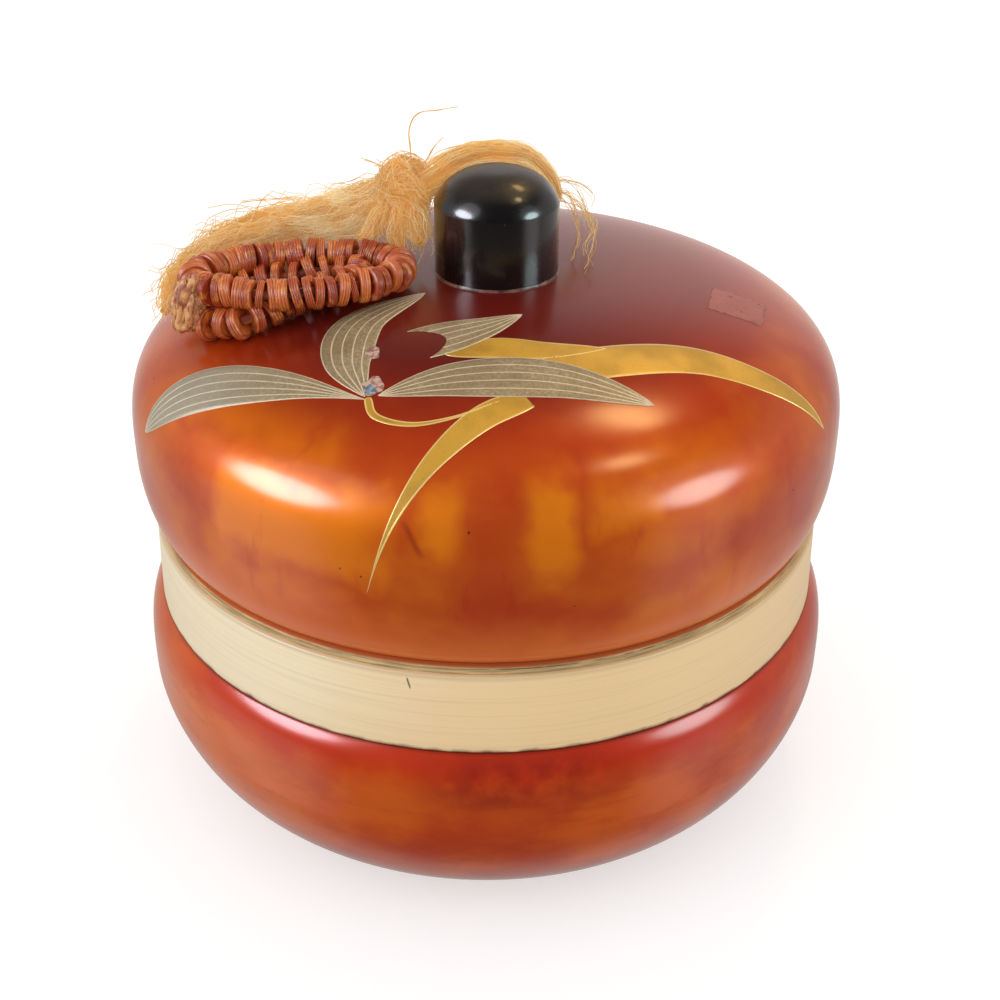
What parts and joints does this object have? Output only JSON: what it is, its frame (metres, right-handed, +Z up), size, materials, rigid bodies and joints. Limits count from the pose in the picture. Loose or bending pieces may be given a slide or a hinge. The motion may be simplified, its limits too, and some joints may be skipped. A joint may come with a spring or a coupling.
{
  "type": "lacquer trinket box",
  "caption": "Round turned lacquer box for trinkets, with a lift-off domed lid, a cream band, a black knob, a raw-fibre tassel and a loop of threaded discs on the lid.",
  "frame": {"origin": "centre of the flat underside", "axes": "+Z up through the knob, -Y towards the front with the painted leaves, +X to the right seen from the front"},
  "size_m": [0.1266, 0.1266, 0.1133],
  "materials": {
    "red_lacquer": "translucent red lacquer on turned wood, high gloss",
    "cream_lacquer": "cream lacquer with fine turning lines, satin",
    "amber_lacquer": "translucent amber lacquer over foil, high gloss",
    "black_lacquer": "black lacquer, high gloss, a little dusty on top",
    "red_brown_discs": "thin red-brown discs with fine grooves, satin",
    "raw_fibre": "raw golden plant fibre, matt with a soft sheen",
    "silver_inlay": "silver powder inlay, aged to taupe, satin metallic",
    "gold_inlay": "gold powder inlay, satin metallic",
    "shell_inlay": "chips of shell, glossy",
    "red_paint": "thin red paint, worn"
  },
  "bodies": {
    "root": {"bowl": "red_lacquer", "band": "cream_lacquer", "lid": "amber_lacquer", "knob": "black_lacquer", "bead_loop": "red_brown_discs", "tassel": "raw_fibre"}
  },
  "joints": []
}
